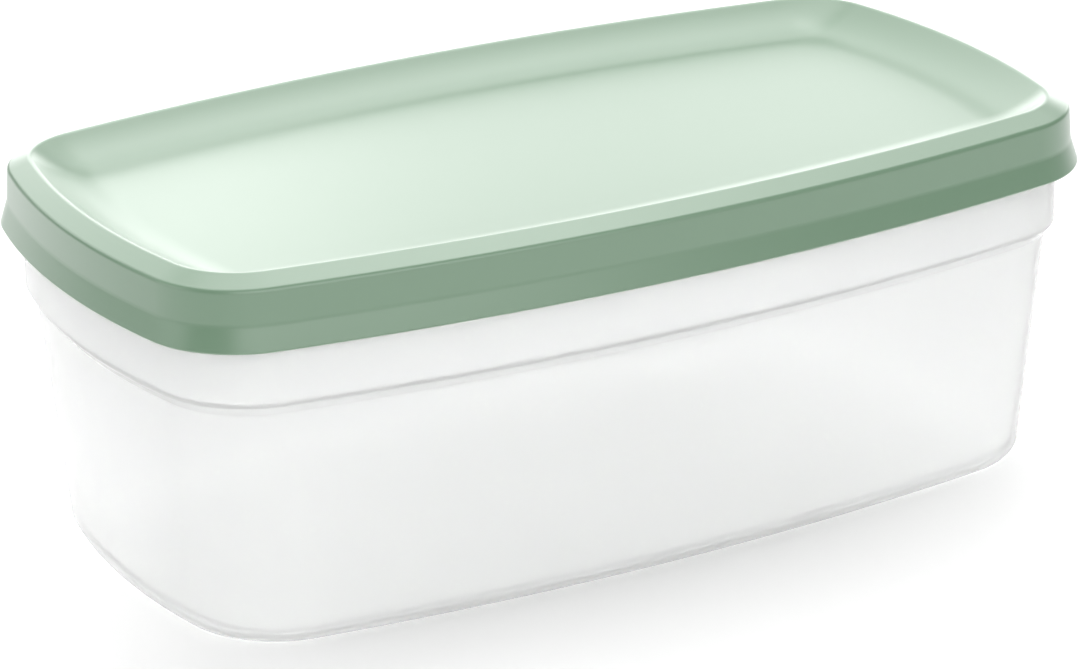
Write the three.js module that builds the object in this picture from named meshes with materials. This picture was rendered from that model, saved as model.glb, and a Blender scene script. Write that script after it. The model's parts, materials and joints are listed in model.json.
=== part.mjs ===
// A rectangular food storage box with bowed sides and round corners.
// A translucent tub stands on its flat foot and an opaque press-on lid covers its rim.
// Millimetres, +X along the length, +Y across, +Z up, origin at the middle of the foot.
import * as THREE from 'three';

// Outlines seen from above: half sizes at the crown of each bow, the rise of each bow, corner radius
const LID_EDGE = { halfLength: 110, halfWidth: 61, sideBow: 11.3, endBow: 10.8, corner: 22.8 };
const TUB_BAND = { halfLength: 106.6, halfWidth: 57.4, sideBow: 10.9, endBow: 11.2, corner: 22.3 };
const TUB_FOOT = { halfLength: 100.7, halfWidth: 52.4, sideBow: 9.1, endBow: 9.8, corner: 23 };

// Tub
const TUB_WALL = 1.4;
const FLOOR_THICKNESS = 1.5;
const FOOT_ROUND = 3.5;
const FLOOR_ROUND = 4;
const LEDGE_INSET = 2;
const LEDGE_LOW = 50.6;
const LEDGE_HIGH = 53;
const RIM_HEIGHT = 76.2;

// Lid
const SKIRT_WALL = 1.1;
const SKIRT_LOW = 65.6;
const KINK_HEIGHT = 70.8;
const KINK_INSET = 1.5;
const SHOULDER_HEIGHT = 78.2;
const SHOULDER_INSET = 1.9;
const CREST_HEIGHT = 79.8;
const CREST_INSET = 6.6;
const TOP_ROUND = 1.2;
const TOP_WALL = 1.5;
const DISH_DEPTH = 5.4;
const DISH_SLOPE = 36;
const CHANNEL_TOP = 76.7;
const LIP_GAP = 0.4;
const LIP_WALL = 1.2;
const LIP_LOW = 68.4;

// Segments in a quarter of an outline and in the curves of a profile
const END_STEPS = 3;
const CORNER_STEPS = 8;
const SIDE_STEPS = 5;
const ROUND_STEPS = 4;
const DISH_STEPS = 7;

const radians = THREE.MathUtils.degToRad;

/** Points on an arc about a centre, both ends included. */
function arcPoints(centre, radius, from, to, steps) {
  return Array.from({ length: steps + 1 }, (_, i) => {
    const angle = THREE.MathUtils.lerp(from, to, i / steps);
    return new THREE.Vector2(centre.x + radius * Math.cos(angle), centre.y + radius * Math.sin(angle));
  });
}

/** One closed outline, moved inwards by inset: two bows and the corner arc tangent to both, mirrored. */
function outlinePoints({ halfLength, halfWidth, sideBow, endBow, corner }, inset) {
  const sideRadius = (halfLength ** 2 + sideBow ** 2) / (2 * sideBow);
  const endRadius = (halfWidth ** 2 + endBow ** 2) / (2 * endBow);
  const sideCentre = new THREE.Vector2(0, halfWidth - sideRadius);
  const endCentre = new THREE.Vector2(halfLength - endRadius, 0);

  // The corner's centre lies where the two bows, shrunk by the corner radius, cross
  const toSide = sideRadius - corner;
  const toEnd = endRadius - corner;
  const between = endCentre.clone().sub(sideCentre);
  const span = between.length();
  const along = (toSide ** 2 - toEnd ** 2 + span ** 2) / (2 * span);
  const across = Math.sqrt(toSide ** 2 - along ** 2);
  const unit = between.divideScalar(span);
  const cornerCentre = new THREE.Vector2(unit.y, -unit.x).multiplyScalar(across)
    .addScaledVector(unit, along).add(sideCentre);

  const sideAngle = cornerCentre.clone().sub(sideCentre).angle();
  const endAngle = cornerCentre.clone().sub(endCentre).angle();
  const quarter = [
    ...arcPoints(endCentre, endRadius - inset, 0, endAngle, END_STEPS),
    ...arcPoints(cornerCentre, corner - inset, endAngle, sideAngle, CORNER_STEPS).slice(1),
    ...arcPoints(sideCentre, sideRadius - inset, sideAngle, Math.PI / 2, SIDE_STEPS).slice(1),
  ];
  const inner = quarter.slice(1, -1);
  return [
    ...quarter,
    ...inner.toReversed().map((p) => new THREE.Vector2(-p.x, p.y)),
    ...quarter.map((p) => new THREE.Vector2(-p.x, -p.y)),
    ...inner.toReversed().map((p) => new THREE.Vector2(p.x, -p.y)),
  ];
}

/** A level ring: the outline it follows, how far inside it lies, and its height. */
const ring = (outline, inset, height) => ({ outline, inset, height });

/** Rings along a round in the profile: 0 degrees faces outwards, 90 up, 180 inwards and -90 down. */
function roundRings(outline, inset, height, radius, from, to) {
  return Array.from({ length: ROUND_STEPS + 1 }, (_, i) => {
    const angle = radians(THREE.MathUtils.lerp(from, to, i / ROUND_STEPS));
    return ring(outline, inset - radius * Math.cos(angle), height + radius * Math.sin(angle));
  });
}

/** A closed skin through the rings in order, from the axis out and round and back to the axis. */
function skin(rings) {
  const loops = rings.map(({ outline, inset, height }) =>
    outlinePoints(outline, inset).map((p) => [p.x, p.y, height]));
  const count = loops[0].length;
  const last = loops.length - 1;
  const first = [0, 0, rings[0].height];
  const final = [0, 0, rings[last].height];
  const vertices = [...loops.flat(), first, final];
  const firstIndex = vertices.length - 2;
  const finalIndex = vertices.length - 1;
  const triangles = [];
  for (let i = 0; i < count; i += 1) {
    const next = (i + 1) % count;
    triangles.push(firstIndex, next, i);
    for (let level = 0; level < last; level += 1) {
      const low = level * count;
      const high = low + count;
      triangles.push(low + i, low + next, high + next, low + i, high + next, high + i);
    }
    triangles.push(finalIndex, last * count + i, last * count + next);
  }
  const geometry = new THREE.BufferGeometry();
  geometry.setAttribute('position', new THREE.Float32BufferAttribute(vertices.flat(), 3));
  geometry.setIndex(triangles);
  geometry.computeVertexNormals();
  return geometry;
}

/** A hollow tub: tapered body, sloping ledge, upright band and round rim. */
function tubGeometry() {
  const ledgeAngle = Math.atan2(LEDGE_INSET, LEDGE_HIGH - LEDGE_LOW);
  const ledgeLift = TUB_WALL * Math.tan(ledgeAngle / 2);
  const rimRound = TUB_WALL / 2;
  const floorInset = TUB_WALL + FLOOR_ROUND;
  return skin([
    ...roundRings(TUB_FOOT, FOOT_ROUND, FOOT_ROUND, FOOT_ROUND, -90, 0),
    ring(TUB_BAND, LEDGE_INSET, LEDGE_LOW),
    ring(TUB_BAND, 0, LEDGE_HIGH),
    ...roundRings(TUB_BAND, rimRound, RIM_HEIGHT - rimRound, rimRound, 0, 180),
    ring(TUB_BAND, TUB_WALL, LEDGE_HIGH + ledgeLift),
    ring(TUB_BAND, LEDGE_INSET + TUB_WALL, LEDGE_LOW + ledgeLift),
    ...roundRings(TUB_FOOT, floorInset, FLOOR_THICKNESS + FLOOR_ROUND, FLOOR_ROUND, 0, -90),
  ]);
}

/** Rings down the dish, from the end of the crest's round to its flat floor, along a level-ended parabola. */
function dishRings(drop) {
  const slope = radians(DISH_SLOPE);
  const start = CREST_INSET + TOP_ROUND * Math.sin(slope);
  const floor = CREST_HEIGHT - DISH_DEPTH;
  const rise = DISH_DEPTH - TOP_ROUND * (1 - Math.cos(slope));
  const width = 2 * rise / Math.tan(slope);
  return Array.from({ length: DISH_STEPS + 1 }, (_, i) => {
    const share = i / DISH_STEPS;
    return ring(LID_EDGE, start + width * share, floor + rise * (1 - share) ** 2 - drop);
  });
}

/** A lid: flared skirt, sloping shoulder, round crest, shallow dish, and a sealing lip inside the tub. */
function lidGeometry() {
  const shoulder = { inset: SHOULDER_INSET + TOP_ROUND, height: SHOULDER_HEIGHT - TOP_ROUND };
  const crest = { inset: CREST_INSET, height: CREST_HEIGHT - TOP_ROUND };
  const slope = Math.atan2(crest.height - shoulder.height, crest.inset - shoulder.inset);
  const slopeFacing = 90 - THREE.MathUtils.radToDeg(slope);
  const edgeRound = SKIRT_WALL / 2;
  const lipRound = LIP_WALL / 2;
  const lipOutside = TUB_WALL + LIP_GAP;
  return skin([
    ...dishRings(TOP_WALL).slice(1).toReversed(),
    ring(TUB_BAND, lipOutside + LIP_WALL, CHANNEL_TOP),
    ...roundRings(TUB_BAND, lipOutside + lipRound, LIP_LOW + lipRound, lipRound, -180, 0),
    ring(TUB_BAND, lipOutside, CHANNEL_TOP),
    ring(LID_EDGE, SHOULDER_INSET + SKIRT_WALL, CHANNEL_TOP),
    ring(LID_EDGE, KINK_INSET + SKIRT_WALL, KINK_HEIGHT),
    ...roundRings(LID_EDGE, edgeRound, SKIRT_LOW + edgeRound, edgeRound, -180, 0),
    ring(LID_EDGE, KINK_INSET, KINK_HEIGHT),
    ...roundRings(LID_EDGE, shoulder.inset, shoulder.height, TOP_ROUND, 0, slopeFacing),
    ...roundRings(LID_EDGE, crest.inset, crest.height, TOP_ROUND, slopeFacing, 90 + DISH_SLOPE),
    ...dishRings(0).slice(1),
  ]);
}

/** A named mesh with its plastic. */
function moulding(name, geometry, finish) {
  const mesh = new THREE.Mesh(geometry, new THREE.MeshStandardMaterial({ metalness: 0, ...finish }));
  mesh.name = name;
  return mesh;
}

const storageBox = new THREE.Group();
storageBox.add(
  moulding('tub', tubGeometry(), { color: 0xf1f3f0, roughness: 0.35, transparent: true, opacity: 0.5 }),
  moulding('lid', lidGeometry(), { color: 0x9cbfa3, roughness: 0.45 }),
);

export default storageBox;
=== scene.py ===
"""A closed food storage box: a translucent tub with bowed sides under a sage green press-on lid.

Metres, +X along the length, +Y across, +Z up, origin at the middle of the foot. Both mouldings
are drawn as sections at the crown of one end, spun round a quarter of their outline and mirrored.
"""

import json
import logging
import math
from dataclasses import dataclass, field
from enum import Enum

import bmesh
import bpy
from mathutils import Matrix, Vector
from mathutils.geometry import intersect_sphere_sphere_2d

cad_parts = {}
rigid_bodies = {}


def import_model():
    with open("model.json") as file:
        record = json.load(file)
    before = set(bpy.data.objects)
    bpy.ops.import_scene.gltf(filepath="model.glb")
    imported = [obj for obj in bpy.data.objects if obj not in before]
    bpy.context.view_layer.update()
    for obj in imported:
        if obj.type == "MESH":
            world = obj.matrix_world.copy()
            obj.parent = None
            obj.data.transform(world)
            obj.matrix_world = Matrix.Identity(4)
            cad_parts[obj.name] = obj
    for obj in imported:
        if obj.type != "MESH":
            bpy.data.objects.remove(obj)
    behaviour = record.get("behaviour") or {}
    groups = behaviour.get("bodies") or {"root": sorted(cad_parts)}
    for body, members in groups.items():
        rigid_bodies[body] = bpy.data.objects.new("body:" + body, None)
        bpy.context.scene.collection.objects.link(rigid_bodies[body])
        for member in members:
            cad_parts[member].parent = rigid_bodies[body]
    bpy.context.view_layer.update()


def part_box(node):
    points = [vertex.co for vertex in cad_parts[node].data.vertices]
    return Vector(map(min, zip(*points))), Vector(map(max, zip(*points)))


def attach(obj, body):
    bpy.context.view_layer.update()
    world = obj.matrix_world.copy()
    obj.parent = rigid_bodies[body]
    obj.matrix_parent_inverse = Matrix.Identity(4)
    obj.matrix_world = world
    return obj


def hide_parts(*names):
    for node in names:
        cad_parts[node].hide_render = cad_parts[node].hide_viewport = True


MM = 0.001
WELD = 0.01 * MM
FULL_WEIGHT = 0.99
UP = Vector((0, 0, 1))
ACROSS = Vector((0, 1, 0))
LOOKED_AT = Vector((-1.6, 1.1, 32.9)) * MM

log = logging.getLogger("storage_box")


class Slot(Enum):
    """The record's material slots."""

    TUB = "tub_plastic"
    LID = "lid_plastic"


class Seam(Enum):
    """Rings of a moulding that are bridged, closed or softened once the section has been swept."""

    FOOT = "foot"
    WALL_FOOT_OUTSIDE = "wall_foot_outside"
    LEDGE_LOW_OUTSIDE = "ledge_low_outside"
    LEDGE_HIGH_OUTSIDE = "ledge_high_outside"
    LEDGE_HIGH_INSIDE = "ledge_high_inside"
    LEDGE_LOW_INSIDE = "ledge_low_inside"
    WALL_FOOT_INSIDE = "wall_foot_inside"
    FLOOR = "floor"
    CHANNEL_OUTSIDE = "channel_outside"
    KINK_INSIDE = "kink_inside"
    KINK_OUTSIDE = "kink_outside"
    DISH_FLOOR = "dish_floor"
    LIP_OUTSIDE = "lip_outside"
    LIP_INSIDE = "lip_inside"
    DISH_BACK_RIM = "dish_back_rim"
    DISH_BACK_FLOOR = "dish_back_floor"


@dataclass(frozen=True)
class Arc:
    """A stretch of an outline: the point it turns about, how far it turns, and its segments."""

    centre: Vector
    angle: float
    steps: int


@dataclass(frozen=True)
class Outline:
    """A moulding seen from above: bowed sides and ends, and corner arcs tangent to both."""

    half_length: float
    half_width: float
    side_bow: float
    end_bow: float
    corner: float
    end_steps: int = 12
    corner_steps: int = 24
    side_steps: int = 20

    def shrunk(
        self, length: float, width: float, side_bow: float, end_bow: float, corner: float
    ) -> "Outline":
        """Gives a smaller outline with bows and corners of its own.

        Args:
            length: How much less its half length is.
            width: How much less its half width is.
            side_bow: Rise of its sides at their crowns.
            end_bow: Rise of its ends at their crowns.
            corner: Radius of its corners.

        Returns:
            The smaller outline, with the same number of segments.
        """
        return Outline(
            self.half_length - length, self.half_width - width, side_bow, end_bow, corner
        )

    def arcs(self) -> tuple[Arc, Arc, Arc]:
        """Works out the first quarter of the outline.

        Returns:
            The arcs of the end, the corner and the side, from the end's crown to the side's.
        """
        side_radius = (self.half_length**2 + self.side_bow**2) / (2 * self.side_bow)
        end_radius = (self.half_width**2 + self.end_bow**2) / (2 * self.end_bow)
        side_centre = Vector((0, self.half_width - side_radius))
        end_centre = Vector((self.half_length - end_radius, 0))
        crossings = intersect_sphere_sphere_2d(
            side_centre, side_radius - self.corner, end_centre, end_radius - self.corner
        )
        corner_centre = max(crossings, key=lambda point: point.y)
        to_end = corner_centre - end_centre
        to_side = corner_centre - side_centre
        end_angle = math.atan2(to_end.y, to_end.x)
        side_angle = math.atan2(to_side.y, to_side.x)
        return (
            Arc(end_centre, end_angle, self.end_steps),
            Arc(corner_centre, side_angle - end_angle, self.corner_steps),
            Arc(side_centre, math.pi / 2 - side_angle, self.side_steps),
        )


class Section:
    """A section drawn with extrude and spin, in edit mode, at the crown of one end.

    Insets are measured inwards from the outline. A direction is given by the way that the drawn
    surface faces: 0 degrees is outwards, 90 up, 180 inwards and -90 down.
    """

    def __init__(self, outline: Outline, inset: float, height: float) -> None:
        """Puts the pen down on the section's first point.

        Args:
            outline: The outline that the section is swept along.
            inset: How far inside the outline it starts.
            height: How high it starts.
        """
        self.outline = outline
        self.place = self._point(inset, height)
        self.marks: list[tuple[Seam, Vector]] = []
        bpy.ops.mesh.primitive_plane_add(size=MM, location=self.place)
        bpy.ops.mesh.merge(type="CENTER")

    def _point(self, inset: float, height: float) -> Vector:
        """Gives a point of the section's plane."""
        return Vector((self.outline.half_length - inset, 0, height))

    def line(self, inset: float, height: float) -> "Section":
        """Extrudes the pen's point straight to another one.

        Args:
            inset: How far inside the outline the new point lies.
            height: How high it lies.

        Returns:
            The section itself, so that calls can follow each other.
        """
        target = self._point(inset, height)
        bpy.ops.mesh.extrude_region_move(TRANSFORM_OT_translate={"value": target - self.place})
        self.place = target
        return self

    def round(self, radius: float, start: float, end: float, steps: int) -> "Section":
        """Spins the pen's point along an arc.

        Args:
            radius: The arc's radius.
            start: The way that the surface faces where the arc starts, in degrees.
            end: The way that it faces where the arc ends.
            steps: The arc's segments.

        Returns:
            The section itself, so that calls can follow each other.
        """
        centre = self.place - self._facing(start) * radius
        turn = math.radians(end - start)
        bpy.ops.mesh.spin(steps=steps, angle=turn, center=centre, axis=ACROSS)
        self.place = centre + self._facing(end) * radius
        return self

    @staticmethod
    def _facing(degrees: float) -> Vector:
        """Gives the unit vector that points the way a surface faces."""
        return Vector((math.cos(math.radians(degrees)), 0, math.sin(math.radians(degrees))))

    def mark(self, seam: Seam) -> "Section":
        """Names the pen's point, so that its ring can be selected after the sweep."""
        self.marks.append((seam, self.place.copy()))
        return self

    def sweep(self) -> None:
        """Spins the whole section about the centres of the end, the corner and the side."""
        for seam, place in self.marks:
            select_point(place)
            bpy.ops.object.vertex_group_assign_new()
            bpy.context.object.vertex_groups.active.name = seam.value
        bpy.ops.mesh.select_linked()
        for arc in self.outline.arcs():
            centre = arc.centre.to_3d()
            bpy.ops.mesh.spin(steps=arc.steps, angle=-arc.angle, center=centre, axis=UP)


def select_point(place: Vector) -> None:
    """Selects one vertex of the edited mesh, and nothing else.

    Args:
        place: Where the vertex is.
    """
    mesh = bmesh.from_edit_mesh(bpy.context.object.data)
    for vertex in mesh.verts:
        vertex.select_set((vertex.co - place).length < WELD)
    mesh.select_flush_mode()


def select_seams(*seams: Seam) -> None:
    """Selects the edges that run along some rings, and nothing else.

    A vertex that a bevel has made next to a ring has only part of the ring's weight.

    Args:
        *seams: The rings.
    """
    piece = bpy.context.object
    bpy.ops.mesh.select_mode(type="EDGE")
    bpy.ops.mesh.select_all(action="DESELECT")
    mesh = bmesh.from_edit_mesh(piece.data)
    weights = mesh.verts.layers.deform.verify()
    groups = [piece.vertex_groups[seam.value].index for seam in seams]
    for edge in mesh.edges:
        least = [min(end[weights].get(group, 0) for end in edge.verts) for group in groups]
        edge.select_set(max(least) > FULL_WEIGHT)


class Moulding:
    """What both mouldings share: a mesh to draw in, and the steps to a closed shell."""

    fill_step = 0.6 * MM
    normal_weight = 100

    def begin(self, name: str) -> bpy.types.Object:
        """Starts an object with an empty mesh, in edit mode.

        Args:
            name: The piece's name.

        Returns:
            The new object.
        """
        bpy.ops.object.select_all(action="DESELECT")
        bpy.ops.mesh.primitive_plane_add(size=MM)
        piece = bpy.context.object
        piece.name = name
        piece.data.name = name
        bpy.ops.object.mode_set(mode="EDIT")
        bpy.ops.mesh.select_mode(type="VERT")
        bpy.ops.mesh.delete(type="VERT")
        return piece

    def bridge(self, first: Seam, second: Seam) -> None:
        """Joins two rings of the quarter with a ruled surface."""
        select_seams(first, second)
        bpy.ops.mesh.bridge_edge_loops()

    def divide(self, length: float, cuts: int) -> None:
        """Cuts long upright faces into rows, so that their smooth shading stays even.

        Args:
            length: Edges that climb further than this are cut.
            cuts: The cuts in each.
        """
        bpy.ops.mesh.select_all(action="DESELECT")
        mesh = bmesh.from_edit_mesh(bpy.context.object.data)
        for edge in mesh.edges:
            edge.select_set(abs(edge.verts[0].co.z - edge.verts[1].co.z) > length)
        bpy.ops.mesh.subdivide(number_cuts=cuts)

    def mirror(self, piece: bpy.types.Object) -> None:
        """Mirrors the quarter across both upright planes and goes on in edit mode.

        Args:
            piece: The quarter, in edit mode.
        """
        bpy.ops.object.mode_set(mode="OBJECT")
        quarters = piece.modifiers.new("quarters", "MIRROR")
        quarters.use_axis = (True, True, False)
        quarters.merge_threshold = WELD
        bpy.ops.object.modifier_apply(modifier=quarters.name)
        bpy.ops.object.mode_set(mode="EDIT")

    def close(self, seam: Seam) -> None:
        """Fills a level ring with a flat face, ringed and then cut into a fan.

        Args:
            seam: The ring.
        """
        select_seams(seam)
        bpy.ops.mesh.edge_face_add()
        bpy.ops.mesh.inset(thickness=self.fill_step, depth=0)
        bpy.ops.mesh.poke()

    def soften(self, seam: Seam, width: float, steps: int = 3) -> None:
        """Rounds the crease along a ring.

        Args:
            seam: The ring.
            width: How far the round reaches to each side of the crease.
            steps: The round's segments.
        """
        select_seams(seam)
        bpy.ops.mesh.bevel(offset_type="OFFSET", offset=width, segments=steps, affect="EDGES")

    def finish(
        self, piece: bpy.types.Object, plastic: bpy.types.Material, slot: Slot, node: str
    ) -> None:
        """Turns the faces out, shades the shell smooth, dresses it and puts it in its node's place.

        Args:
            piece: The shell, in edit mode.
            plastic: Its material.
            slot: The record's slot for that material; it is not used.
            node: The CAD node that it replaces.
        """
        bpy.ops.mesh.select_all(action="SELECT")
        bpy.ops.mesh.normals_make_consistent(inside=False)
        bpy.ops.object.mode_set(mode="OBJECT")
        bpy.ops.object.shade_smooth()
        normals = piece.modifiers.new("level_normals", "WEIGHTED_NORMAL")
        normals.weight = self.normal_weight
        bpy.ops.object.modifier_apply(modifier=normals.name)
        piece.vertex_groups.clear()
        piece.data.materials.append(plastic)
        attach(piece, "root")
        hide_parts(node)


@dataclass
class Tub(Moulding):
    """A hollow tub: flat foot, tapered body, sloping ledge, upright band and round rim."""

    band: Outline
    rim_height: float
    foot: Outline = field(init=False)
    wall: float = 1.4 * MM
    floor: float = 1.5 * MM
    foot_round: float = 3.5 * MM
    floor_round: float = 4 * MM
    ledge_inset: float = 2 * MM
    ledge_low: float = 50.6 * MM
    ledge_high: float = 53 * MM
    ledge_soft: float = 0.45 * MM
    body_cuts: int = 8
    round_steps: int = 10

    def __post_init__(self) -> None:
        """Works out the foot's outline from the band's and the draft of the walls."""
        self.foot = self.band.shrunk(
            length=5.9 * MM, width=5 * MM, side_bow=9.1 * MM, end_bow=9.8 * MM, corner=23 * MM
        )

    @classmethod
    def in_place_of(cls, node: str) -> "Tub":
        """Takes the tub's length, width and height from its CAD node.

        Args:
            node: The tub's CAD node.

        Returns:
            The tub's sizes.
        """
        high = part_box(node)[1]
        band = Outline(high.x, high.y, side_bow=10.9 * MM, end_bow=11.2 * MM, corner=22.3 * MM)
        return cls(band, high.z)

    def build(self, plastic: bpy.types.Material) -> bpy.types.Object:
        """Models the tub.

        Args:
            plastic: Its material.

        Returns:
            The finished piece.
        """
        piece = self.begin("tub_shell")
        self._draw_foot()
        self._draw_band()
        self._draw_floor()
        self.bridge(Seam.WALL_FOOT_OUTSIDE, Seam.LEDGE_LOW_OUTSIDE)
        self.bridge(Seam.WALL_FOOT_INSIDE, Seam.LEDGE_LOW_INSIDE)
        self.mirror(piece)
        self.close(Seam.FOOT)
        self.close(Seam.FLOOR)
        for crease in (
            Seam.LEDGE_LOW_OUTSIDE,
            Seam.LEDGE_HIGH_OUTSIDE,
            Seam.LEDGE_LOW_INSIDE,
            Seam.LEDGE_HIGH_INSIDE,
        ):
            self.soften(crease, self.ledge_soft)
        self.divide(self.ledge_low / 2, self.body_cuts)
        self.finish(piece, plastic, Slot.TUB, "tub")
        return piece

    def _draw_foot(self) -> None:
        """Draws the round between the flat foot and the outside of the wall."""
        section = Section(self.foot, self.foot_round, 0).mark(Seam.FOOT)
        section.round(self.foot_round, -90, 0, self.round_steps).mark(Seam.WALL_FOOT_OUTSIDE)
        section.sweep()

    def _draw_band(self) -> None:
        """Draws the ledge and the band, up the outside, over the rim and down the inside."""
        ledge_angle = math.atan2(self.ledge_inset, self.ledge_high - self.ledge_low)
        ledge_lift = self.wall * math.tan(ledge_angle / 2)
        rim_round = self.wall / 2
        section = Section(self.band, self.ledge_inset, self.ledge_low).mark(Seam.LEDGE_LOW_OUTSIDE)
        section.line(0, self.ledge_high).mark(Seam.LEDGE_HIGH_OUTSIDE)
        section.line(0, self.rim_height - rim_round)
        section.round(rim_round, 0, 180, self.round_steps)
        section.line(self.wall, self.ledge_high + ledge_lift).mark(Seam.LEDGE_HIGH_INSIDE)
        section.line(self.ledge_inset + self.wall, self.ledge_low + ledge_lift)
        section.mark(Seam.LEDGE_LOW_INSIDE)
        section.sweep()

    def _draw_floor(self) -> None:
        """Draws the round between the inside of the wall and the tub's floor."""
        section = Section(self.foot, self.wall, self.floor + self.floor_round)
        section.mark(Seam.WALL_FOOT_INSIDE)
        section.round(self.floor_round, 0, -90, self.round_steps).mark(Seam.FLOOR)
        section.sweep()


@dataclass
class Lid(Moulding):
    """A press-on lid: flared skirt, sloping shoulder, crest, shallow dish and sealing lip."""

    edge: Outline
    skirt_low: float
    crest_height: float
    tub: Tub
    skirt_wall: float = 1.1 * MM
    kink_height: float = 70.8 * MM
    kink_inset: float = 1.5 * MM
    kink_soft: float = 0.5 * MM
    shoulder_height: float = 78.2 * MM
    shoulder_inset: float = 1.9 * MM
    crest_inset: float = 6.6 * MM
    top_round: float = 1.2 * MM
    top_wall: float = 1.5 * MM
    dish_depth: float = 5.4 * MM
    dish_slope: float = 36
    dish_steps: int = 20
    skirt_steps: int = 10
    shoulder_steps: int = 8
    crest_steps: int = 6
    lip_steps: int = 8
    channel_top: float = 76.7 * MM
    lip_gap: float = 0.4 * MM
    lip_wall: float = 1.2 * MM
    lip_low: float = 68.4 * MM

    @classmethod
    def in_place_of(cls, node: str, tub: Tub) -> "Lid":
        """Takes the lid's length, width and heights from its CAD node.

        Args:
            node: The lid's CAD node.
            tub: The tub that the lip goes into.

        Returns:
            The lid's sizes.
        """
        low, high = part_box(node)
        edge = Outline(high.x, high.y, side_bow=11.3 * MM, end_bow=10.8 * MM, corner=22.8 * MM)
        return cls(edge, low.z, high.z, tub)

    def build(self, plastic: bpy.types.Material) -> bpy.types.Object:
        """Models the lid.

        Args:
            plastic: Its material.

        Returns:
            The finished piece.
        """
        piece = self.begin("lid_shell")
        self._draw_outside()
        self._draw_lip()
        self._draw_dish_back()
        self.bridge(Seam.CHANNEL_OUTSIDE, Seam.LIP_OUTSIDE)
        self.bridge(Seam.LIP_INSIDE, Seam.DISH_BACK_RIM)
        self.mirror(piece)
        self.close(Seam.DISH_FLOOR)
        self.close(Seam.DISH_BACK_FLOOR)
        self.soften(Seam.KINK_OUTSIDE, self.kink_soft)
        self.soften(Seam.KINK_INSIDE, self.kink_soft)
        self.finish(piece, plastic, Slot.LID, "lid")
        return piece

    def _draw_outside(self) -> None:
        """Draws the lid from its channel down, round the skirt's foot, up and over the crest."""
        edge_round = self.skirt_wall / 2
        shoulder_inset = self.shoulder_inset + self.top_round
        shoulder = Vector((shoulder_inset, self.shoulder_height - self.top_round))
        crest = Vector((self.crest_inset, self.crest_height - self.top_round))
        slope = math.atan2(crest.y - shoulder.y, crest.x - shoulder.x)
        slope_facing = 90 - math.degrees(slope)
        across_slope = Vector((-math.sin(slope), math.cos(slope))) * self.top_round
        section = Section(self.edge, self.shoulder_inset + self.skirt_wall, self.channel_top)
        section.mark(Seam.CHANNEL_OUTSIDE)
        section.line(self.kink_inset + self.skirt_wall, self.kink_height).mark(Seam.KINK_INSIDE)
        section.line(self.skirt_wall, self.skirt_low + edge_round)
        section.round(edge_round, -180, 0, self.skirt_steps)
        section.line(self.kink_inset, self.kink_height).mark(Seam.KINK_OUTSIDE)
        section.line(self.shoulder_inset, shoulder.y)
        section.round(self.top_round, 0, slope_facing, self.shoulder_steps)
        section.line(*(crest + across_slope))
        section.round(self.top_round, slope_facing, 90 + self.dish_slope, self.crest_steps)
        for inset, height in self._dish_points()[1:]:
            section.line(inset, height)
        section.mark(Seam.DISH_FLOOR)
        section.sweep()

    def _dish_points(self) -> list[tuple[float, float]]:
        """Works out the dish's side, a parabola from the crest's round to the level floor.

        Returns:
            Its insets and heights, from the top down.
        """
        slope = math.radians(self.dish_slope)
        start = self.crest_inset + self.top_round * math.sin(slope)
        floor = self.crest_height - self.dish_depth
        rise = self.dish_depth - self.top_round * (1 - math.cos(slope))
        width = 2 * rise / math.tan(slope)
        shares = [step / self.dish_steps for step in range(self.dish_steps + 1)]
        return [(start + width * share, floor + rise * (1 - share) ** 2) for share in shares]

    def _draw_lip(self) -> None:
        """Draws the sealing lip that stands inside the tub's band."""
        outside = self.tub.wall + self.lip_gap
        inside = outside + self.lip_wall
        lip_round = self.lip_wall / 2
        section = Section(self.tub.band, outside, self.channel_top).mark(Seam.LIP_OUTSIDE)
        section.line(outside, self.lip_low + lip_round)
        section.round(lip_round, 0, -180, self.lip_steps)
        section.line(inside, self.channel_top).mark(Seam.LIP_INSIDE)
        section.sweep()

    def _draw_dish_back(self) -> None:
        """Draws the underside of the dish, from the floor up to the lip."""
        points = [
            (inset, height - self.top_wall)
            for inset, height in reversed(self._dish_points())
            if height - self.top_wall < self.channel_top
        ]
        section = Section(self.edge, *points[0]).mark(Seam.DISH_BACK_FLOOR)
        for inset, height in points[1:]:
            section.line(inset, height)
        section.mark(Seam.DISH_BACK_RIM)
        section.sweep()


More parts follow.
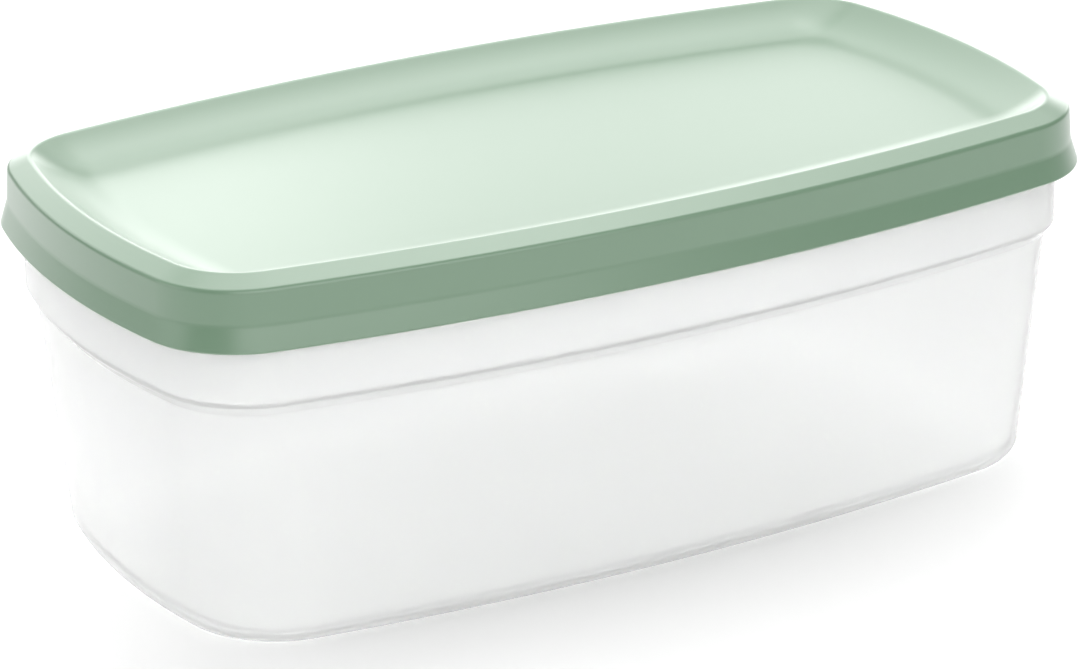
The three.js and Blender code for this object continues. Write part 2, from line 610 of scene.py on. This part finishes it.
class MouldedSurface:
    """A shader node group for what moulding leaves: fine grain, slow waves and faint clouds."""

    NAME = "moulded_surface"
    GRAIN_SCALE = 3200
    GRAIN_DETAIL = 2
    WAVE_SCALE = 26
    WAVE_DETAIL = 1
    CLOUD_SCALE = 40
    CLOUD_DETAIL = 4
    CLOUD_MIDDLE = 0.5

    def __init__(self) -> None:
        """Builds the group, once for all the plastics."""
        self.tree = bpy.data.node_groups.new(self.NAME, "ShaderNodeTree")
        self._add_sockets()
        self._add_nodes()

    def _add_sockets(self) -> None:
        """Names what goes in and what comes out."""
        for name, kind in (
            ("Vector", "NodeSocketVector"),
            ("Colour", "NodeSocketColor"),
            ("Cloud Colour", "NodeSocketColor"),
            ("Cloud Share", "NodeSocketFloat"),
            ("Roughness", "NodeSocketFloat"),
            ("Roughness Spread", "NodeSocketFloat"),
            ("Grain Depth", "NodeSocketFloat"),
            ("Wave Depth", "NodeSocketFloat"),
        ):
            self.tree.interface.new_socket(name=name, in_out="INPUT", socket_type=kind)
        for name, kind in (
            ("Colour", "NodeSocketColor"),
            ("Roughness", "NodeSocketFloat"),
            ("Height", "NodeSocketFloat"),
        ):
            self.tree.interface.new_socket(name=name, in_out="OUTPUT", socket_type=kind)

    def _noise(
        self, place: bpy.types.NodeSocket, scale: float, detail: float
    ) -> bpy.types.NodeSocket:
        """Adds a noise pattern.

        Args:
            place: The socket with the place on the surface.
            scale: How many of its features fit in a metre.
            detail: How many finer patterns it adds.

        Returns:
            The pattern's value.
        """
        noise = self.tree.nodes.new("ShaderNodeTexNoise")
        noise.inputs["Scale"].default_value = scale
        noise.inputs["Detail"].default_value = detail
        self.tree.links.new(place, noise.inputs["Vector"])
        return noise.outputs["Fac"]

    def _math(self, operation: str, *values: bpy.types.NodeSocket | float) -> bpy.types.NodeSocket:
        """Adds a Math node.

        Args:
            operation: What it works out.
            *values: The sockets and numbers that go in.

        Returns:
            Its result.
        """
        node = self.tree.nodes.new("ShaderNodeMath")
        node.operation = operation
        for slot, value in zip(node.inputs, values):
            if isinstance(value, bpy.types.NodeSocket):
                self.tree.links.new(value, slot)
            else:
                slot.default_value = value
        return node.outputs["Value"]

    def _add_nodes(self) -> None:
        """Joins the patterns up with the inputs and outputs."""
        given = self.tree.nodes.new("NodeGroupInput").outputs
        result = self.tree.nodes.new("NodeGroupOutput").inputs
        place = given["Vector"]
        grain = self._noise(place, self.GRAIN_SCALE, self.GRAIN_DETAIL)
        waves = self._noise(place, self.WAVE_SCALE, self.WAVE_DETAIL)
        clouds = self._noise(place, self.CLOUD_SCALE, self.CLOUD_DETAIL)

        cloud_share = self._math("MULTIPLY", clouds, given["Cloud Share"])
        mix = self.tree.nodes.new("ShaderNodeMix")
        mix.data_type = "RGBA"
        self.tree.links.new(cloud_share, mix.inputs["Factor"])
        self.tree.links.new(given["Colour"], mix.inputs["A"])
        self.tree.links.new(given["Cloud Colour"], mix.inputs["B"])
        self.tree.links.new(mix.outputs["Result"], result["Colour"])

        centred = self._math("SUBTRACT", clouds, self.CLOUD_MIDDLE)
        spread = self._math("MULTIPLY", centred, given["Roughness Spread"])
        self.tree.links.new(self._math("ADD", given["Roughness"], spread), result["Roughness"])

        fine = self._math("MULTIPLY", grain, given["Grain Depth"])
        slow = self._math("MULTIPLY", waves, given["Wave Depth"])
        self.tree.links.new(self._math("ADD", fine, slow), result["Height"])


@dataclass(frozen=True)
class MouldedPlastic:
    """A plastic as it comes from the mould. Depths are in metres and colours are linear."""

    name: str
    colour: tuple[float, float, float]
    cloud_colour: tuple[float, float, float]
    roughness: float
    cloud_share: float = 0.25
    roughness_spread: float = 0.03
    grain_depth: float = 0.0006 * MM
    wave_depth: float = 0.02 * MM
    ior: float = 1.5
    gloss: float = 0.5
    coat: float = 0
    coat_roughness: float = 0.32

    def start(self, surface: MouldedSurface) -> tuple[bpy.types.Material, bpy.types.Node]:
        """Makes the material with its surface group joined to a Principled shader.

        Args:
            surface: The group that makes the plastic's grain, waves and clouds.

        Returns:
            The material and its Principled node.
        """
        material = bpy.data.materials.new(self.name)
        material.use_nodes = True
        tree = material.node_tree
        shader = tree.nodes["Principled BSDF"]
        shader.inputs["IOR"].default_value = self.ior
        shader.inputs["Specular IOR Level"].default_value = self.gloss
        shader.inputs["Coat Weight"].default_value = self.coat
        shader.inputs["Coat Roughness"].default_value = self.coat_roughness
        place = tree.nodes.new("ShaderNodeTexCoord")
        group = tree.nodes.new("ShaderNodeGroup")
        group.node_tree = surface.tree
        group.inputs["Colour"].default_value = (*self.colour, 1)
        group.inputs["Cloud Colour"].default_value = (*self.cloud_colour, 1)
        group.inputs["Cloud Share"].default_value = self.cloud_share
        group.inputs["Roughness"].default_value = self.roughness
        group.inputs["Roughness Spread"].default_value = self.roughness_spread
        group.inputs["Grain Depth"].default_value = self.grain_depth
        group.inputs["Wave Depth"].default_value = self.wave_depth
        bump = tree.nodes.new("ShaderNodeBump")
        bump.inputs["Distance"].default_value = 1
        tree.links.new(place.outputs["Object"], group.inputs["Vector"])
        tree.links.new(group.outputs["Colour"], shader.inputs["Base Color"])
        tree.links.new(group.outputs["Roughness"], shader.inputs["Roughness"])
        tree.links.new(group.outputs["Height"], bump.inputs["Height"])
        tree.links.new(bump.outputs["Normal"], shader.inputs["Normal"])
        return material, shader


@dataclass(frozen=True)
class OpaquePlastic(MouldedPlastic):
    """A satin coloured plastic."""

    def build(self, surface: MouldedSurface) -> bpy.types.Material:
        """Makes the material from the shared surface group."""
        return self.start(surface)[0]


@dataclass(frozen=True)
class ClearPlastic(MouldedPlastic):
    """A hazy see-through plastic that lets lamps through."""

    transmission: float = 0.55
    milk_depth: float = 3 * MM

    def build(self, surface: MouldedSurface) -> bpy.types.Material:
        """Makes the material, in which shadow rays pass straight through.

        Args:
            surface: The group that makes the plastic's grain, waves and clouds.

        Returns:
            The material.
        """
        material, shader = self.start(surface)
        shader.inputs["Transmission Weight"].default_value = self.transmission
        shader.inputs["Subsurface Weight"].default_value = 1
        shader.inputs["Subsurface Radius"].default_value = (1, 1, 1)
        shader.inputs["Subsurface Scale"].default_value = self.milk_depth
        tree = material.node_tree
        rays = tree.nodes.new("ShaderNodeLightPath")
        passing = tree.nodes.new("ShaderNodeBsdfTransparent")
        mix = tree.nodes.new("ShaderNodeMixShader")
        tree.links.new(rays.outputs["Is Shadow Ray"], mix.inputs["Fac"])
        tree.links.new(shader.outputs["BSDF"], mix.inputs[1])
        tree.links.new(passing.outputs["BSDF"], mix.inputs[2])
        tree.links.new(mix.outputs["Shader"], tree.nodes["Material Output"].inputs["Surface"])
        return material


@dataclass
class Floor:
    """The plain pale surface that the box stands on."""

    side: float = 8
    drop: float = 0.05 * MM
    colour: tuple[float, float, float] = (0.9, 0.9, 0.9)
    roughness: float = 0.6

    def build(self) -> None:
        """Lays the floor just under the foot."""
        bpy.ops.object.select_all(action="DESELECT")
        bpy.ops.mesh.primitive_plane_add(size=self.side, location=-UP * self.drop)
        floor = bpy.context.object
        floor.name = "floor"
        material = bpy.data.materials.new("floor")
        material.use_nodes = True
        shader = material.node_tree.nodes["Principled BSDF"]
        shader.inputs["Base Color"].default_value = (*self.colour, 1)
        shader.inputs["Roughness"].default_value = self.roughness
        floor.data.materials.append(material)


@dataclass(frozen=True)
class SoftBox:
    """A large soft lamp: where it hangs, its width and height, and how bright its face looks."""

    name: str
    azimuth: float
    elevation: float
    distance: float
    size: tuple[float, float]
    radiance: float

    def build(self, aim: Vector) -> None:
        """Hangs the lamp so that it faces a point.

        Args:
            aim: The point that it faces.
        """
        lamp = bpy.data.lights.new(self.name, "AREA")
        lamp.shape = "RECTANGLE"
        lamp.size, lamp.size_y = self.size
        lamp.energy = self.radiance * math.pi * lamp.size * lamp.size_y
        towards = direction(self.azimuth, self.elevation)
        holder = bpy.data.objects.new(self.name, lamp)
        holder.location = aim + towards * self.distance
        holder.rotation_mode = "QUATERNION"
        holder.rotation_quaternion = towards.to_track_quat("Z", "Y")
        bpy.context.scene.collection.objects.link(holder)


def direction(azimuth: float, elevation: float) -> Vector:
    """Gives the way from the box to a viewer or lamp.

    Args:
        azimuth: Degrees round from the front, which is -Y, towards +X.
        elevation: Degrees above the floor.

    Returns:
        A unit vector.
    """
    turn = math.radians(azimuth)
    lift = math.radians(elevation)
    reach = math.cos(lift)
    return Vector((math.sin(turn) * reach, -math.cos(turn) * reach, math.sin(lift)))


@dataclass
class Studio:
    """Soft white light: a bright backdrop and top, and dimmer sides, front and room."""

    aim: Vector
    room: float = 0.2
    boxes: tuple[SoftBox, ...] = (
        SoftBox("backdrop", azimuth=144, elevation=10, distance=1.8, size=(2.1, 0.65), radiance=3),
        SoftBox("back_left", azimuth=185, elevation=34, distance=1.8, size=(1.9, 1.2), radiance=1.8),
        SoftBox("back_right", azimuth=120, elevation=48, distance=1.8, size=(1.6, 1.1), radiance=1.8),
        SoftBox("top_box", azimuth=180, elevation=80, distance=1.5, size=(1.6, 1.2), radiance=2.7),
        SoftBox("front_box", azimuth=-6, elevation=28, distance=1.7, size=(2, 1.2), radiance=1.9),
        SoftBox("left_box", azimuth=-105, elevation=18, distance=1.7, size=(1.2, 0.8), radiance=1.3),
    )

    def build(self) -> None:
        """Lights the room and sets how its light becomes colour."""
        scene = bpy.context.scene
        world = bpy.data.worlds.new("room")
        world.use_nodes = True
        background = world.node_tree.nodes["Background"]
        background.inputs["Color"].default_value = (1, 1, 1, 1)
        background.inputs["Strength"].default_value = self.room
        scene.world = world
        for box in self.boxes:
            box.build(self.aim)
        scene.view_settings.view_transform = "Standard"


@dataclass(frozen=True)
class Camera:
    """The photograph's viewpoint, as seen from the point that the camera looks at."""

    aim: Vector
    azimuth: float = -28.87
    elevation: float = 21.52
    roll: float = -1.1
    distance: float = 0.89
    lens: float = 141.2
    sensor: float = 36

    def build(self) -> None:
        """Sets the scene's camera."""
        data = bpy.data.cameras.new("camera")
        data.sensor_width = self.sensor
        data.lens = self.lens
        camera = bpy.data.objects.new("camera", data)
        back = direction(self.azimuth, self.elevation)
        right = UP.cross(back).normalized()
        above = back.cross(right)
        upright = Matrix((right, above, back)).transposed().to_4x4()
        camera.matrix_world = (
            Matrix.Translation(self.aim + back * self.distance)
            @ upright
            @ Matrix.Rotation(math.radians(self.roll), 4, "Z")
        )
        bpy.context.scene.collection.objects.link(camera)
        bpy.context.scene.camera = camera


SAGE = OpaquePlastic(
    name="sage_satin",
    colour=(0.165, 0.28, 0.18),
    cloud_colour=(0.175, 0.29, 0.19),
    roughness=0.34,
    gloss=0.8,
    coat=0.7,
)
FROST = ClearPlastic(
    name="frosted_clear",
    colour=(0.97, 0.975, 0.97),
    cloud_colour=(0.95, 0.955, 0.95),
    roughness=0.06,
    ior=1.49,
)


def main() -> None:
    """Loads the frame, builds the box, its light and its camera, and logs both pieces' face counts.
    """
    logging.basicConfig(level=logging.INFO, format="%(name)s: %(message)s")
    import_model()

    surface = MouldedSurface()
    tub = Tub.in_place_of("tub")
    lid = Lid.in_place_of("lid", tub)
    for piece in (tub.build(FROST.build(surface)), lid.build(SAGE.build(surface))):
        log.info("%s: %d faces", piece.name, len(piece.data.polygons))

    Floor().build()
    Studio(LOOKED_AT).build()
    Camera(LOOKED_AT).build()


if __name__ == "__main__":
    main()
